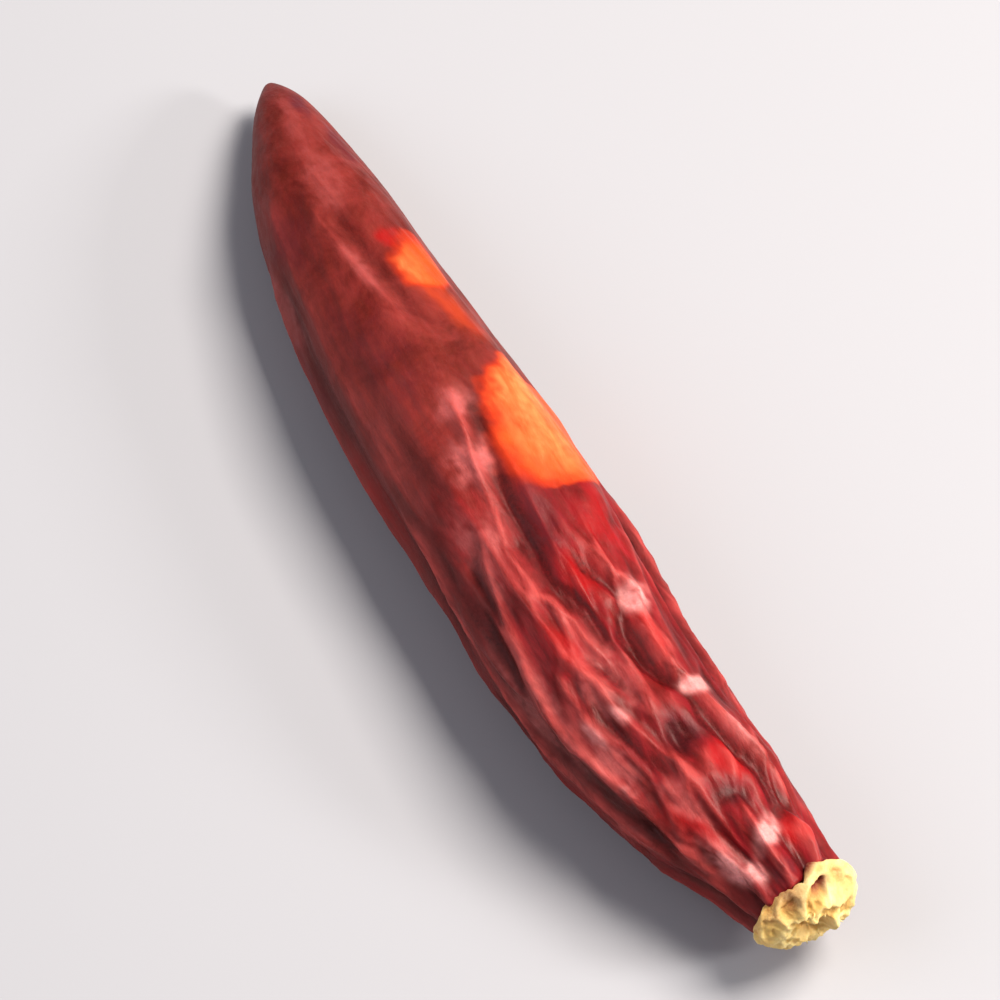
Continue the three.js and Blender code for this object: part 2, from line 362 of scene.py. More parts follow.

# Marks in the skin's colour, by the layer that they belong to: the place of each, its half length and half
# width in millimetres, its lean in degrees and its strength.
# Some marks are painted light: the dusty ones are in part painted highlights, the scuffs are painted
# highlights, and the violet ones on the dents are painted shade.
MARKS = {
    # Dull, dusty skin, and painted highlights on lit facets, on ridges and along the top of the tip.
    "dust_and_highlight": [
        ((0.442, -2), 1.1, 1.3, 10, 0.75), ((0.503, -15), 1.5, 1.5, -25, 0.95),
        ((0.578, -29), 1.3, 0.5, -10, 0.8), ((0.07, 5), 2.6, 0.55, 0, 0.25), ((0.15, 8), 2.8, 1.2, 0, 0.3),
        ((0.27, -4), 2.2, 0.4, 8, 0.5), ((0.585, -43), 3.0, 1.0, 0, 0.6), ((0.822, -50), 2.4, 0.9, 0, 0.75),
        ((0.765, -26), 1.8, 0.7, 0, 0.6), ((0.845, 46), 1.6, 0.6, 0, 0.5), ((0.888, -31), 1.8, 0.8, 4, 0.6),
        ((0.935, -52), 1.9, 1.0, 0, 0.6), ((0.74, -71), 4.0, 0.8, 0, 0.5), ((0.75, -8), 2.6, 1.3, 0, 0.5),
        ((0.82, -57), 2.6, 0.5, 6, 0.6), ((0.72, -53), 3.4, 0.4, -2, 0.6), ((0.8, 108), 2.0, 0.9, 0, 0.5),
        ((0.24, -84), 3.0, 0.7, 4, 0.4),
    ],
    # Painted highlights: pale glints on the crests and near the calyx.
    "highlight_spot": [
        ((0.947, 7), 0.55, 1.6, 34, 0.95), ((0.955, -52), 1.3, 0.8, 0, 1.0),
        ((0.972, -36), 0.7, 0.6, 0, 0.9), ((0.69, 42), 1.1, 0.75, -14, 0.95),
        ((0.79, 43), 0.6, 0.9, 0, 0.85), ((0.845, 48), 1.5, 0.5, 0, 0.4), ((0.794, -45), 0.9, 0.32, 0, 0.6),
        ((0.79, -23), 0.7, 0.35, 0, 0.6), ((0.85, -54), 0.5, 0.4, 0, 0.4), ((0.9, 96), 0.8, 0.5, 10, 0.8),
        ((0.66, 112), 0.9, 0.4, 10, 0.5),
    ],
    "rosy": [
        ((0.648, 14), 2.0, 1.1, 0, 0.85), ((0.868, 25), 1.5, 1.1, 15, 0.7), ((0.952, 42), 1.4, 1.2, 0, 0.9),
        ((0.72, 35), 2.6, 0.5, 0, 0.9), ((0.715, -24), 2.4, 0.8, 6, 0.7), ((0.61, 46), 2.6, 1.2, 0, 0.6),
        ((0.915, -46), 2.2, 1.3, 0, 0.7), ((0.245, 36), 0.8, 0.9, 0, 0.8),
        ((0.56, -46), 3.0, 1.2, -6, 0.35), ((0.76, 118), 3.2, 1.2, 6, 0.6), ((0.46, -92), 4.0, 1.0, 4, 0.4),
    ],
    # Dull violet skin. The marks at 0.59, 0.832 and 0.905 lie on dents and darken them as painted shade.
    "violet_and_dent_shade": [
        ((0.59, 4), 2.8, 1.4, 0, 0.75), ((0.832, 8), 1.3, 1.3, 20, 1.0), ((0.905, 6), 0.9, 0.9, 0, 0.6),
        ((0.985, -4), 0.6, 1.2, 0, 0.7), ((0.045, 36), 1.4, 0.5, 0, 1.0), ((0.11, 56), 2.6, 0.5, 0, 0.8),
        ((0.19, -52), 2.2, 1.4, 0, 0.6), ((0.36, -30), 4.5, 2.0, 4, 0.45), ((0.6, 98), 3.2, 1.6, 0, 0.6),
        ((0.33, -100), 4.0, 1.4, 0, 0.5),
    ],
}


def frame_middle(points):
    """The middle of each of the frame's rings: x, y and z, in order from the tip."""
    x = np.round(points[:, 0], 3)
    rings = [points[x == place] for place in np.unique(x)]
    rings = [ring for ring in rings if len(ring) > 8]
    return np.array([[ring[0, 0], *((ring[:, 1:].min(0) + ring[:, 1:].max(0)) / 2)] for ring in rings])


def skin_grid():
    """The outer skin of the frame's pod on a fine, even grid without its facets: the middle of each ring, the
    angle of each step round it, and the distance from the one to the skin. Millimetres and degrees."""
    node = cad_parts["pod"].data
    points = np.array([v.co for v in node.vertices]) / MM
    node.calc_loop_triangles()
    tree = BVHTree.FromPolygons(points.tolist(), [t.vertices for t in node.loop_triangles])
    tip, mouth = points[:, 0].min(), points[:, 0].max()
    t = np.linspace(0, 1, POD_RINGS + 1)[1:]
    share = t * t / (t + TIP_CROWDING) * (1 + TIP_CROWDING)
    x = tip + share * (mouth - tip)
    rings = frame_middle(points)
    middle = np.stack([x, np.interp(x, rings[:, 0], rings[:, 1]), np.interp(x, rings[:, 0], rings[:, 2])], 1)
    middle[:, 1:] = blurred(middle[:, 1:], FACET_BLUR[0], 0.01)
    angle = np.arange(POD_SIDES) * 360 / POD_SIDES - 180
    out = np.stack([np.zeros(POD_SIDES), np.sin(np.radians(angle)), np.cos(np.radians(angle))], 1)
    reach = np.zeros((POD_RINGS, POD_SIDES))
    inside_mouth = mouth - 0.02
    for i, centre in enumerate(middle):
        start = Vector((min(centre[0], inside_mouth), centre[1], centre[2]))
        for j, direction in enumerate(out):
            # The farthest surface along the ray is the outer skin, even where the throat lies inside it.
            far = start + Vector(direction) * RAY_REACH
            hit = tree.ray_cast(far, -Vector(direction), RAY_REACH)[0]
            reach[i, j] = (hit - start).length if hit else reach[i - 1, j]
    return middle, share, angle, blurred(reach, *FACET_BLUR)


def across_crease(crease, share, angle, reach):
    """Distance in millimetres from the line of a crease, and a share that fades to nothing at its ends."""
    places, turns = np.array(crease["path"], float).T
    line = np.interp(share, places, turns)
    first, last = places[0], places[-1]
    present = smooth(share, first, first + CREASE_FADE) * (1 - smooth(share, last - CREASE_FADE, last))
    return np.radians(turn_between(angle, line)) * reach, present


def spot(spot_at, long, wide, lean, share, angle, reach, length_mm):
    """1 in the middle of an oval spot on the skin, fading to nothing at its edge."""
    along = (share - spot_at[0]) * length_mm
    across = np.radians(turn_between(angle, spot_at[1])) * reach
    c, s = math.cos(math.radians(lean)), math.sin(math.radians(lean))
    return np.exp(-(((along * c + across * s) / long) ** 2) - (((across * c - along * s) / wide) ** 2))


def pod_skin(settings):
    """The pod's points in rings from tip to mouth, and what is painted on them."""
    middle, share_1, angle_1, reach = skin_grid()
    length_mm = middle[-1, 0] - middle[0, 0]
    share, angle = np.meshgrid(share_1, angle_1, indexing="ij")
    out = np.stack([np.zeros_like(angle), np.sin(np.radians(angle)), np.cos(np.radians(angle))], 2)
    base = middle[:, None, :] + out * reach[:, :, None]

    stem_half = smooth(share, 0.46, 0.68)
    off_tip = smooth(share, 0.02, 0.16)
    girth = blurred(reach, 12, 12)
    spacing = settings.fold_spacing / MM
    wander = noise_at(base, (7, 4, 4), 3)[:, :, None] * np.array([0, 0.9, 0.9])
    folds = bell(cells_at(base + wander, (spacing * 6, spacing, spacing), 1), 0.17)
    side_folds = bell(cells_at(base + wander, (spacing * 2.2, spacing * 0.5, spacing * 0.5), 2), 0.22)
    rise = settings.fold_height / MM * (folds - 0.4) * (0.2 + 0.8 * stem_half)
    rise += settings.fold_height / MM * 0.25 * (side_folds - 0.4) * (0.12 + 0.88 * stem_half)
    lines = ridges_at(base + wander * 0.5, (7, 0.8, 0.8), 7, 1.8) - 0.5
    rise += settings.line_height / MM * lines * (0.6 + 0.4 * stem_half)
    crinkles = ridges_at(base + wander * 0.3, (1.8, 0.5, 0.5), 11, 1.5) - 0.5
    rise += settings.crinkle_depth / MM * crinkles * (0.5 + 0.5 * stem_half)
    rise += (0.16 * noise_at(base, (10, 3.2, 3.2), 21) + 0.09 * noise_at(base, (6, 1.6, 1.6), 22)) * off_tip

    # The tops of the creases get a painted highlight, and the grooves beside them get painted shade.
    crest_highlight = np.zeros_like(share)
    furrow = np.zeros_like(share)
    scale = settings.crease_height / MM
    for crease in CREASES:
        across, present = across_crease(crease, share, angle, girth)
        across = across + 0.22 * noise_at(base, (2.4, 9, 9), 31)
        top = present * np.exp(-np.abs(across) / crease["breadth"] * 1.3)
        side = math.copysign(1, crease["groove"]) * 1.7 * crease["breadth"]
        trench = present * bell(across - side, 1.25 * crease["breadth"])
        rise += scale * (crease["height"] * top - abs(crease["groove"]) * trench)
        crest_highlight = np.maximum(crest_highlight, top * min(1, crease["height"] / 0.35))
        furrow = np.maximum(furrow, trench * min(1, abs(crease["groove"]) / 0.35))
    # Each dent is sunk, and painted shade darkens it.
    for dent in DENTS:
        hollow = spot(dent["at"], dent["long"], dent["wide"], dent["lean"], share, angle, girth, length_mm)
        rise -= dent["sink"] * hollow
        furrow = np.maximum(furrow, hollow * 0.4)

    gather = smooth(share, 0.86, 0.985)
    uneven = angle + 14 * noise_at(base, (30, 3, 3), 41)
    rise += gather * 0.2 * np.cos(np.radians(uneven * 9))
    rise *= off_tip * 0.75 + 0.25 * smooth(share, 0, 0.04)
    rise -= 0.2 * gather + 0.05 * stem_half
    near_side = bell(turn_between(angle, NEAR_SIDE), 42)
    rise -= near_side * (0.42 * smooth(share, 0.8, 0.97) + 0.3 * bell(share - 0.3, 0.12) + 0.15 * stem_half)
    rise -= SHOULDER_SINK * bell(turn_between(angle, FAR_SHOULDER), 36) * smooth(share, 0.8, 0.94)
    flat_belly = bell(turn_between(angle, 180), 26) * smooth(share, 0.12, 0.3)
    flat_belly *= 1 - smooth(share, 0.78, 0.9)
    rise *= 1 - 0.85 * flat_belly

    # Raised skin gets more painted highlight, and sunken skin gets more painted shade.
    relief = rise - blurred(rise, 10, 8)
    crest_highlight = np.clip(crest_highlight * 0.6 + smooth(relief, 0.03, 0.2) * (0.25 + 0.45 * stem_half), 0, 1)
    furrow = np.clip(furrow * 0.6 + smooth(-relief, 0.03, 0.17) * (0.35 + 0.45 * stem_half), 0, 1)

    skin = base + out * rise[:, :, None]
    edge_wave = 0.22 * noise_at(base, (4, 1.6, 1.6), 51) - LAP_BACK * lap_at(angle)
    skin[:, :, 0] += edge_wave * smooth(share, 0.955, 1)
    skin[:, :, 1] -= STEM_SHIFT * smooth(share, 0.56, 0.72) * (1 - smooth(share, 0.9, 0.99))
    skin[:, :, 2] = np.maximum(skin[:, :, 2], 0)
    painted = {"crest_highlight": crest_highlight, "furrow": furrow, **painted_patches(share, angle, girth, length_mm, base)}
    return skin, middle, painted


def lap_at(degrees):
    """Where the calyx laps back over the pod's far shoulder: 1 in the middle of the lap."""
    return bell(turn_between(degrees, LAP_ANGLE), 30)


def painted_patches(share, angle, girth, length_mm, base):
    """Where the sun has bleached the skin, where it is marked or flushed, and where wax dulls it. Some marks
    are painted highlights and some painted shade, and the near side gets a painted sky reflection.
    """
    coarse, fine = noise_at(base, (1.5, 0.9, 0.9), 61), noise_at(base, (0.5, 0.35, 0.35), 62)
    streaky = noise_at(base, (1.6, 0.8, 0.8), 63)
    ragged = 6 * coarse + 3 * fine
    drawn_in = smooth(angle, 60, 118)
    place = share + 1.8 * (share - 0.486) * drawn_in + (0.011 * coarse + 0.007 * fine) * (0.4 + drawn_in)
    edge = np.interp(place, *BIG_PATCH)
    inside = angle + ragged - edge
    reach_over = np.where(angle > 62, 4.4, 7.6)
    oval = spot((0.480, 62), 6.3, reach_over, 6, share, angle, girth, length_mm) + 0.09 * coarse + 0.05 * fine
    big = smooth(inside, -7, 8) * smooth(oval, 0.22, 0.4)
    core = smooth(inside, 2, 22) * smooth(oval, 0.34, 0.62)
    drawn_in = smooth(angle, 46, 92)
    place = share + 1.5 * (share - 0.28) * drawn_in + (0.009 * coarse + 0.006 * fine) * (0.35 + drawn_in)
    edge = np.interp(place, *SMALL_PATCH)
    inside = angle + ragged - edge
    oval = spot((0.278, 42), 3.2, 2.3, 10, share, angle, girth, length_mm) + 0.09 * coarse + 0.05 * fine
    small = smooth(inside, -6, 7) * smooth(oval, 0.2, 0.42)
    small_core = smooth(inside, 2, 14) * smooth(oval, 0.4, 0.66) * smooth(share, 0.244, 0.266)
    trail = bell(turn_between(angle, np.interp(share, *TRAIL)) + ragged, 9)
    trail *= smooth(share, 0.28, 0.31) * (1 - smooth(share, 0.35, 0.4))
    under = spot((0.40, 150), 7, 2.4, 4, share, angle, girth, length_mm)
    sun_edge = np.clip(big + 0.85 * small + 0.45 * trail + 0.6 * under, 0, 1)
    sun = np.clip(core * (0.85 + 0.3 * coarse) + 0.85 * small_core + 0.3 * trail + 0.2 * under, 0, 1)
    pale = core * spot((0.45, 52), 4.2, 1.8, 0, share, angle, girth, length_mm)
    pale += 0.55 * core * spot((0.515, 44), 2.0, 1.6, 0, share, angle, girth, length_mm)
    pale += 0.7 * small_core * spot((0.285, 33), 1.5, 0.9, 0, share, angle, girth, length_mm)
    pale = np.clip(pale * (1 + 0.6 * fine), 0, 1)

    layers = {name: np.zeros_like(share) for name in MARKS}
    for name, marks in MARKS.items():
        for place, long, wide, lean, strength in marks:
            mark = spot(place, long, wide, lean, share, angle, girth, length_mm)
            mark = smooth(mark * (1 + 0.9 * streaky + 0.5 * fine), 0.05, 0.9) * strength
            layers[name] = np.maximum(layers[name], mark)
    # The near side, which faces away from the light, gets a painted sky reflection over its real wax bloom.
    # The same share also dulls the gloss.
    near_side = smooth(-angle, 30, 78) * (1 - smooth(-angle, 125, 160))
    wax_and_sheen = near_side * (1 - 0.4 * smooth(share, 0.55, 0.8)) * (0.75 + 0.25 * smooth(coarse, -0.4, 0.4))
    flush = smooth(share, 0.44, 0.62) * (1 - 0.4 * near_side)
    thick = 1 - smooth(share, 0.40, 0.62)
    return {"sun_edge": sun_edge, "sun": sun, "sun_pale": pale, "thick": thick, "skin": np.ones_like(share),
            "wax_and_sheen": wax_and_sheen, "flush": flush, **layers}


def close_mouth(skin, middle):
    """Rings that roll the skin's edge into the mouth and close it at the bottom."""
    rim = skin[-1]
    centre = np.array([rim[:, 0].mean(), middle[-1, 1], middle[-1, 2]])
    outward = rim - centre
    outward[:, 0] = 0
    size = np.linalg.norm(outward, axis=1, keepdims=True)
    outward /= size
    rings = []
    for inward, forward in RIM_ROLL:
        ring = rim - outward * inward * np.minimum(1, size / 2)
        ring[:, 0] += forward
        rings.append(ring)
    return np.array(rings), centre - np.array([MOUTH_DEPTH, 0, 0])


def make_pod(settings):
    """The pod, as one closed skin."""
    skin, middle, painted = pod_skin(settings)
    inner, floor = close_mouth(skin, middle)
    tip = skin[0].mean(0) - np.array([0.01, 0, 0])
    rings = np.concatenate([skin, inner])
    points = np.concatenate([rings.reshape(-1, 3), tip[None], floor[None]])
    sides, last = POD_SIDES, len(rings) * POD_SIDES
    faces = ring_faces(len(rings), sides)
    faces += [(last, j, (j + 1) % sides) for j in range(sides)]
    start = last - sides
    faces += [(last + 1, start + (j + 1) % sides, start + j) for j in range(sides)]
    attributes = {}
    for name, values in painted.items():
        filled = np.concatenate([values] + [values[-1:]] * len(inner)).ravel()
        attributes[name] = np.append(filled, (values[0].mean(), 0))
    return make_object("chilli_pod", points, faces, dried_chilli_skin(settings), attributes)


def painted_colour(tree, ground, layers):
    """Paints layers on a ground colour. Each is what it covers, the pattern that breaks it up, the least
    and most of it that shows, and its colour."""
    for covers, pattern, least, most, tint in layers:
        shows = remapped(tree, pattern, 0.36, 0.64, least, most)
        share = add_node(tree, "ShaderNodeMath", {0: covers, 1: shows}, operation="MULTIPLY").outputs[0]
        ground = add_node(tree, "ShaderNodeMix", {
            "Factor_Float": share, "A_Color": ground, "B_Color": tint}, data_type="RGBA").outputs[2]
    return ground


def dried_chilli_skin(settings):
    """Air-dried chilli skin: a leathery fruit wall under a thin natural wax. The wax gives soft, broken
    glints on the crests, which also carry a painted highlight, and the wall takes in a little light.
    The colour is uneven where the sun dried it. It also holds painted shade in the furrows, painted
    highlights in spots and a painted sky reflection on the near side."""
    material, shader, tree = new_material("air_dried_chilli_skin")
    place = add_node(tree, "ShaderNodeTexCoord").outputs["Object"]
    painted = painted_shares(tree, (
        "crest_highlight", "furrow", "sun_edge", "sun", "sun_pale", "dust_and_highlight", "highlight_spot", "rosy", "violet_and_dent_shade", "wax_and_sheen", "flush",
        "thick", "skin"))

    # Streaks run along the pod, 0.7 mm apart and four times as long, and wander from side to side.
    stretched = add_node(tree, "ShaderNodeMapping", {"Vector": place, "Scale": (0.25, 1, 1)})
    lengthways = stretched.outputs["Vector"]
    streaks = pattern_of(tree, lengthways, 0.7, 5, 0.62, 0.8)
    blotches = pattern_of(tree, place, 3.2, 6, 0.66, 0.5)
    mottle = pattern_of(tree, place, 1.1, 5, 0.7, 0.6)
    speckle = pattern_of(tree, place, 0.25, 3, 0.7)

    tree.links.new(painted_colour(tree, settings.deep, (
        (painted["flush"], streaks, 0.2, 0.95, settings.flush),
        # This dark colour also mottles all the skin in random blotches, a tone that the skin has under any
        # lamp.
        (painted["skin"], blotches, 0.4, 0.0, settings.furrow),
        (painted["thick"], mottle, 0.4, 0.0, settings.brown),
        # The crest colour also lightens the thick skin in random blotches, a tone of its own.
        (painted["thick"], blotches, 0.0, 0.22, settings.crest_highlight),
        # Painted sky reflection over the wax bloom, on the near side.
        (painted["wax_and_sheen"], mottle, 0.5, 0.9, settings.bloom_and_sheen),
        # Dull violet skin, and painted shade on three of the dents.
        (painted["violet_and_dent_shade"], mottle, 0.55, 0.95, settings.violet_and_dent_shade),
        (painted["rosy"], streaks, 0.6, 0.95, settings.rosy),
        # Painted shade in the furrows and dents.
        (painted["furrow"], speckle, 0.55, 0.8, settings.furrow),
        # Dull, dusty skin, partly painted highlight.
        (painted["dust_and_highlight"], mottle, 0.55, 0.95, settings.dust_and_highlight),
        (painted["sun_edge"], mottle, 0.8, 1.0, settings.sun_edge),
        (painted["sun"], mottle, 1.0, 0.7, settings.sunburnt),
        (painted["sun_pale"], streaks, 0.4, 1.0, settings.sun_pale),
        # Painted highlight on the crests.
        (painted["crest_highlight"], streaks, 0.15, 0.75, settings.crest_highlight),
        # Painted highlights in spots.
        (painted["highlight_spot"], speckle, 0.75, 1.0, settings.highlight_spot_colour),
    )), shader.inputs["Base Color"])

    # The wax is worn through in streaks, which makes the gloss uneven.
    gloss = remapped(tree, streaks, 0.3, 0.7, 0.36, 0.56)
    duller = add_node(tree, "ShaderNodeMath", {0: painted["wax_and_sheen"], 1: 0.1, 2: gloss}, operation="MULTIPLY_ADD")
    tree.links.new(duller.outputs[0], shader.inputs["Roughness"])

    # Fine lengthways crinkles, and the pores of the skin.
    crinkle = pattern_of(tree, lengthways, 0.35, 5, 0.65)
    creased = raised(tree, crinkle, 0.55, 0.09)
    tree.links.new(raised(tree, speckle, 0.4, 0.03, creased), shader.inputs["Normal"])

    shader.inputs["IOR"].default_value = 1.45
    shader.inputs["Specular Tint"].default_value = linear("#ffdcd2")
    shader.inputs["Specular IOR Level"].default_value = 0.34
    shader.inputs["Subsurface Weight"].default_value = 0.12
    shader.inputs["Subsurface Radius"].default_value = (1.0, 0.22, 0.12)
    shader.inputs["Subsurface Scale"].default_value = 0.8 * MM
    shader.inputs["Coat Weight"].default_value = 0.05
    shader.inputs["Coat Roughness"].default_value = 0.24
    return material


# ---------------------------------------------------------------- the calyx

CALYX_SIDES = 168
CALYX_RINGS = 84

# From the bottom of the plug, out under the collar, over its edge and in to the middle of the broken stem:
# share of the calyx's half width, and millimetres in front of the pod's rim.
CALYX_PROFILE = (
    (0.0, -0.9), (0.52, -0.85), (0.62, -0.5), (0.66, 0.05), (0.82, 0.12), (0.93, 0.1), (0.99, 0.35),
    (0.98, 0.8), (0.9, 1.2), (0.76, 1.5), (0.58, 1.62), (0.4, 1.6), (0.22, 1.5), (0.0, 1.45),
)
EDGE_SHARE = 0.72  # the collar is free of the plug outside this share of its half width
CALYX_SHRUNK = 0.94  # share of the collar's drawn width that is left once it has dried
COLLAR_DIP = -0.12  # millimetres, the furthest that the collar's edge may sink back
NOTCH_ANGLE = -20  # degrees round from the back, where the collar is torn in
PIT_ANGLE = 16  # and where a pit shows the red flesh
SCAR_PLACE = 0.8  # share of the calyx's rings at which the scar is ringed with fibres
FIBRE_SEED = 12


def profile_points(profile, count):
    """So many points evenly spaced along a rounded line through the profile's own points."""
    corners = np.array(profile)
    steps = np.linalg.norm(np.diff(corners, axis=0) * (3, 1), axis=1)
    along = np.concatenate([[0], np.cumsum(steps)])
    fine = np.linspace(0, along[-1], count)
    line = np.stack([np.interp(fine, along, corners[:, k]) for k in (0, 1)], 1)
    rounded = line.copy()
    rounded[1:-1] = (line[:-2] + 2 * line[1:-1] + line[2:]) / 4
    return rounded


def calyx_rings(settings):
    """The calyx's points in rings from the bottom of its plug to the middle of the scar, and what is painted
    on them."""
    low, high = (np.array(corner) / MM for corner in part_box("calyx"))
    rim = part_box("pod")[1].x / MM
    centre, half = (low + high) / 2, (high - low) / 2
    profile = profile_points(CALYX_PROFILE, CALYX_RINGS)
    angle = np.arange(CALYX_SIDES) * 2 * math.pi / CALYX_SIDES - math.pi
    share, turn = np.meshgrid(profile[:, 0], angle, indexing="ij")
    rise = np.repeat(profile[:, 1:2], CALYX_SIDES, 1)
    order = np.repeat(np.linspace(0, 1, CALYX_RINGS)[:, None], CALYX_SIDES, 1)
    half = half * CALYX_SHRUNK
    out = np.stack([np.zeros_like(turn), np.sin(turn) * half[1], np.cos(turn) * half[2]], 2)
    base = np.array([rim, centre[1], centre[2]]) + out * share[:, :, None]
    base = base + rise[:, :, None] * np.array([1, 0, 0])

    crumple = bell(cells_at(base, (1.7, 1.5, 1.3), 5), 0.3)
    crimp = bell(cells_at(base, (0.7, 0.6, 0.6), 6), 0.34)
    torn = noise_at(base, (1.2, 1.2, 1.2), 7)
    outer = smooth(order, 0.3, 0.42)
    on_edge = smooth(share, EDGE_SHARE, 1.0) * outer
    lobes = 0.5 + 0.5 * np.cos(5 * turn + 0.9 + 0.5 * np.sin(turn * 2))
    lap = lap_at(np.degrees(turn)) * smooth(share, 0.66, 0.9)
    notch = bell(turn_between(np.degrees(turn), NOTCH_ANGLE), 16) * on_edge
    pit = bell(turn_between(np.degrees(turn), PIT_ANGLE), 11) * bell(share - 0.88, 0.08) * outer
    depth = settings.crumple_depth / MM
    ahead = outer * depth * (0.55 * crumple + 0.3 * crimp - 0.5 + 0.35 * torn)
    ahead += on_edge * (0.25 * lobes - 0.15) - 0.3 * notch - 0.75 * pit
    ahead = np.maximum(ahead, COLLAR_DIP * on_edge - 2 * (1 - on_edge)) - LAP_BACK * lap
    stub = smooth(order, 0.72, 0.84)
    ahead += stub * (0.32 * bell(share - 0.38, 0.1) * (1 + torn) - 0.6 * bell(share, 0.22))
    spread = on_edge * (0.05 * lobes + 0.1 * crumple + 0.08 * torn - 0.06)
    spread = spread - 0.06 * notch + 0.1 * lap * on_edge
    grain = 0.06 * noise_at(base, (0.3, 0.3, 0.3), 9) * outer
    points = base + out * (spread + 0.3 * grain)[:, :, None]
    points[:, :, 0] += ahead + grain
    # Painted shade in the hollows between the crumples, beside real browning on the torn edge, the notch and
    # the middle of the scar.
    hollow = smooth(0.42 - crumple, 0.0, 0.35) * outer
    browned_and_shaded = 0.4 * hollow + 0.9 * stub * bell(share, 0.2)
    browned_and_shaded = browned_and_shaded + smooth(-torn, 0.0, 0.5) * on_edge * 0.8 + 0.6 * notch
    # Painted highlight on the raised tops of the crumples. The torn fibres are pale straw of their own.
    fresh_and_highlight = smooth(crumple, 0.2, 0.8) * outer * (0.6 + 0.6 * smooth(torn, -0.3, 0.3))
    painted = {"browned_and_shaded": browned_and_shaded, "fresh_and_highlight": fresh_and_highlight, "pit": pit * 1.5 + notch * 0.5}
    return points, {name: np.clip(values, 0, 1) for name, values in painted.items()}


def torn_fibres(settings, ring):
    """Thin fibres torn out with the stem. Each is a four-sided spike that stands on the ring of the scar."""
    chance = np.random.default_rng(FIBRE_SEED)
    centre = ring.mean(0)
    points, faces = [], []
    for _ in range(settings.fibre_count):
        root = ring[chance.integers(len(ring))] * 0.9 + centre * 0.1
        root = root + chance.normal(0, 0.12, 3) - np.array([0.25, 0, 0])
        outward = root - centre
        lean = np.array([1.0, 0, 0]) + 0.35 * outward / 2 + chance.normal(0, 0.35, 3)
        lean /= np.linalg.norm(lean)
        size = settings.fibre_length / MM * chance.uniform(0.45, 1.15)
        side = np.cross(lean, (0, 0.3, 1))
        side /= np.linalg.norm(side)
        other = np.cross(lean, side)
        thick = chance.uniform(0.05, 0.1)
        first = len(points)
        bend = side * chance.uniform(-0.3, 0.3)
        for along, width in ((0, 1), (0.5, 0.7)):
            middle = root + lean * size * along + bend * along ** 2
            points += [middle + (side * c + other * s) * thick * width
                       for c, s in ((1, 0), (0, 1), (-1, 0), (0, -1))]
        points.append(root + lean * size + bend)
        faces.append((first + 3, first + 2, first + 1, first))
        faces += [(first + j, first + (j + 1) % 4, first + 4 + (j + 1) % 4, first + 4 + j) for j in range(4)]
        faces += [(first + 4 + j, first + 4 + (j + 1) % 4, first + 8) for j in range(4)]
    return np.array(points), faces


def make_calyx(settings):
    """The calyx: its collar, plug and scar as one skin, and the fibres torn out with the stem."""
    grid, painted = calyx_rings(settings)
    rings, sides = grid[1:-1], CALYX_SIDES
    points = np.concatenate([rings.reshape(-1, 3), grid[0].mean(0)[None], grid[-1].mean(0)[None]])
    last = len(rings) * sides
    faces = ring_faces(len(rings), sides)
    faces += [(last, j, (j + 1) % sides) for j in range(sides)]
    faces += [(last + 1, last - sides + (j + 1) % sides, last - sides + j) for j in range(sides)]
    attributes = {name: np.append(values[1:-1].ravel(), (0, 0)) for name, values in painted.items()}
    scar = grid[int(CALYX_RINGS * SCAR_PLACE)]
    spikes, spike_faces = torn_fibres(settings, scar)
    faces += [tuple(i + len(points) for i in face) for face in spike_faces]
    for name in attributes:
        attributes[name] = np.append(attributes[name], np.full(len(spikes), 1.0 if name == "fresh_and_highlight" else 0.0))
    points = np.concatenate([points, spikes])
    return make_object("stem_calyx", points, faces, dry_calyx_wood(settings), attributes)


def dry_calyx_wood(settings):
    """Dry calyx wood, torn across: pale, rough and matt, and browned where it dried thin. It has painted
    shade in its hollows and painted highlights on the tops of its crumples. Its grain is drawn 0.16 mm wide."""
    material, shader, tree = new_material("torn_dry_calyx_wood")
    place = add_node(tree, "ShaderNodeTexCoord").outputs["Object"]
    painted = painted_shares(tree, ("browned_and_shaded", "fresh_and_highlight", "pit"))
    mottle = pattern_of(tree, place, 0.8, 5, 0.65)
    fibre = pattern_of(tree, place, 0.16, 4, 0.7)
    tree.links.new(painted_colour(tree, settings.straw, (
        # Pale torn fibres, and painted highlight on the crumple tops.
        (painted["fresh_and_highlight"], mottle, 0.3, 0.95, settings.pale_straw_and_highlight),
        # Browned wood, and painted shade in the hollows.
        (painted["browned_and_shaded"], fibre, 0.35, 0.85, settings.scorched_and_shaded),
        (painted["pit"], fibre, 0.85, 1.0, settings.pit),
    )), shader.inputs["Base Color"])
    tree.links.new(remapped(tree, fibre, 0.3, 0.7, 0.62, 0.85), shader.inputs["Roughness"])
    tree.links.new(raised(tree, fibre, 0.7, 0.08), shader.inputs["Normal"])
    shader.inputs["IOR"].default_value = 1.5
    shader.inputs["Subsurface Weight"].default_value = 0.15
    shader.inputs["Subsurface Radius"].default_value = (1.0, 0.6, 0.3)
    shader.inputs["Subsurface Scale"].default_value = 0.4 * MM
    return material


# ---------------------------------------------------------------- the stage

FLOOR_SIZE = 3.0  # metres
CAMERA_FILL = 1.04  # share of the picture's height that the pepper takes


def view_axes(azimuth, elevation):
    """Unit vectors from the pepper towards the camera, to the right of its view and up in it."""
    back = Vector((math.sin(azimuth) * math.cos(elevation), -math.cos(azimuth) * math.cos(elevation),
                   math.sin(elevation)))
    right = Vector((math.cos(azimuth), math.sin(azimuth), 0))
    return back, right, back.cross(right)


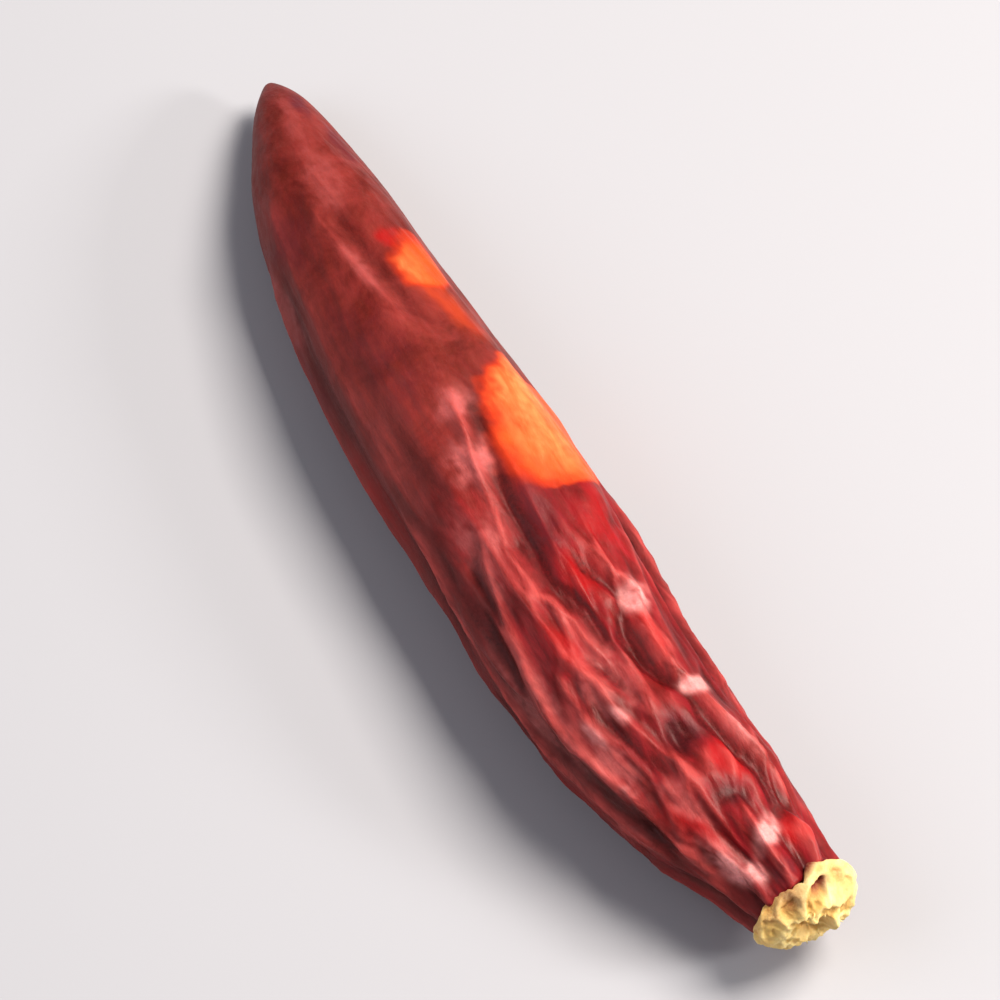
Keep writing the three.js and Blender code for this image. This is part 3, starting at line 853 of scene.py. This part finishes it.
def make_floor(settings):
    """A plain, pale, matt board for the pepper to lie on."""
    half = FLOOR_SIZE / 2
    mesh = bpy.data.meshes.new("floor")
    corners = [(-half, -half, 0), (half, -half, 0), (half, half, 0), (-half, half, 0)]
    mesh.from_pydata(corners, [], [(0, 1, 2, 3)])
    material, shader, _ = new_material("white_painted_board")
    shader.inputs["Base Color"].default_value = settings.floor
    shader.inputs["Roughness"].default_value = 0.7
    mesh.materials.append(material)
    floor = bpy.data.objects.new("floor", mesh)
    bpy.context.scene.collection.objects.link(floor)


def make_light(name, towards, distance, size, watts, tint):
    """A square area light that faces the pepper from a distance."""
    lamp = bpy.data.lights.new(name, "AREA")
    lamp.size = size
    lamp.energy = watts
    lamp.color = linear(tint)[:3]
    light = bpy.data.objects.new(name, lamp)
    light.location = towards.normalized() * distance
    light.rotation_euler = towards.to_track_quat("Z", "Y").to_euler()
    bpy.context.scene.collection.objects.link(light)


def make_lights(settings):
    """A large window-like light from behind on the right, a weak one from the left, and an even sky."""
    back, right, up = view_axes(settings.azimuth, settings.elevation)
    make_light("window", right * 0.5 + up * 0.6 + back * 0.62, 0.5, 0.24, 3.3 * settings.key_power, "#fffaf4")
    make_light("glint", right * 0.9 + up * 0.1 + back * 0.45, 0.45, 0.08, 0.8 * settings.key_power, "#ffffff")
    make_light("fill", right * -0.8 + up * 0.2 + back * 0.6, 0.6, 0.4, 1.0 * settings.key_power, "#eef2ff")
    world = bpy.data.worlds.new("studio")
    world.use_nodes = True
    world.node_tree.nodes["Background"].inputs["Color"].default_value = linear("#e9edf4")
    world.node_tree.nodes["Background"].inputs["Strength"].default_value = 0.24
    bpy.context.scene.world = world


def make_camera(settings):
    """A camera that looks down on the pepper and frames all of it."""
    back, right, up = view_axes(settings.azimuth, settings.elevation)
    low, high = CAD_BOX
    corners = [Vector((x, y, z)) for x in (low.x, high.x) for y in (low.y, high.y) for z in (low.z, high.z)]
    across = [c.dot(right) for c in corners]
    upward = [c.dot(up) for c in corners]
    span = max(max(across) - min(across), max(upward) - min(upward))
    lens = bpy.data.cameras.new("camera")
    lens.lens = settings.focal_length
    distance = span / CAMERA_FILL * lens.lens / lens.sensor_width
    middle = (right * (max(across) + min(across)) + up * (max(upward) + min(upward))) / 2
    middle += back * ((low + high) / 2).dot(back)
    camera = bpy.data.objects.new("camera", lens)
    camera.location = middle + back * distance
    camera.rotation_euler = back.to_track_quat("Z", "Y").to_euler()
    lens.clip_start = distance * 0.1
    lens.clip_end = distance * 40
    bpy.context.scene.collection.objects.link(camera)
    bpy.context.scene.camera = camera


# ---------------------------------------------------------------- operators, panel and registration

class CHILLI_OT_pod(bpy.types.Operator):
    """Build the folded, waxy skin of the pod"""
    bl_idname = "chilli.pod"
    bl_label = "Pod"

    def execute(self, context):
        pod = make_pod(context.scene.chilli_pod)
        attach(pod, "root")
        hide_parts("pod")
        return {"FINISHED"}


class CHILLI_OT_calyx(bpy.types.Operator):
    """Build the torn, straw-coloured calyx"""
    bl_idname = "chilli.calyx"
    bl_label = "Calyx"

    def execute(self, context):
        calyx = make_calyx(context.scene.chilli_calyx)
        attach(calyx, "root")
        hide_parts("calyx")
        return {"FINISHED"}


class CHILLI_OT_stage(bpy.types.Operator):
    """Build the floor, the lights and the camera"""
    bl_idname = "chilli.stage"
    bl_label = "Stage"

    def execute(self, context):
        settings = context.scene.chilli_stage
        make_floor(settings)
        make_lights(settings)
        make_camera(settings)
        context.scene.view_settings.view_transform = "Standard"
        context.scene.view_settings.look = "Medium High Contrast"
        return {"FINISHED"}


class CHILLI_PT_panel(bpy.types.Panel):
    """The pepper's sizes and colours, and a button for each of its pieces"""
    bl_idname = "CHILLI_PT_panel"
    bl_label = "Dried chilli pepper"
    bl_space_type = "VIEW_3D"
    bl_region_type = "UI"
    bl_category = "Chilli"

    def draw(self, context):
        scene = context.scene
        for settings, operator in (
            (scene.chilli_pod, CHILLI_OT_pod),
            (scene.chilli_calyx, CHILLI_OT_calyx),
            (scene.chilli_stage, CHILLI_OT_stage),
        ):
            box = self.layout.box()
            for name in settings.__annotations__:
                box.prop(settings, name)
            box.operator(operator.bl_idname)


SETTINGS = {"chilli_pod": PodSettings, "chilli_calyx": CalyxSettings, "chilli_stage": StageSettings}
CLASSES = (*SETTINGS.values(), CHILLI_OT_pod, CHILLI_OT_calyx, CHILLI_OT_stage, CHILLI_PT_panel)


def register():
    """Adds the classes to Blender, and the settings to every scene."""
    for each in CLASSES:
        bpy.utils.register_class(each)
    for name, group in SETTINGS.items():
        setattr(bpy.types.Scene, name, bpy.props.PointerProperty(type=group))


def unregister():
    """Takes them out again."""
    for name in SETTINGS:
        delattr(bpy.types.Scene, name)
    for each in reversed(CLASSES):
        bpy.utils.unregister_class(each)


def main():
    """Builds the whole pepper."""
    register()
    bpy.ops.chilli.stage()
    bpy.ops.chilli.pod()
    bpy.ops.chilli.calyx()


if __name__ == "__main__":
    main()
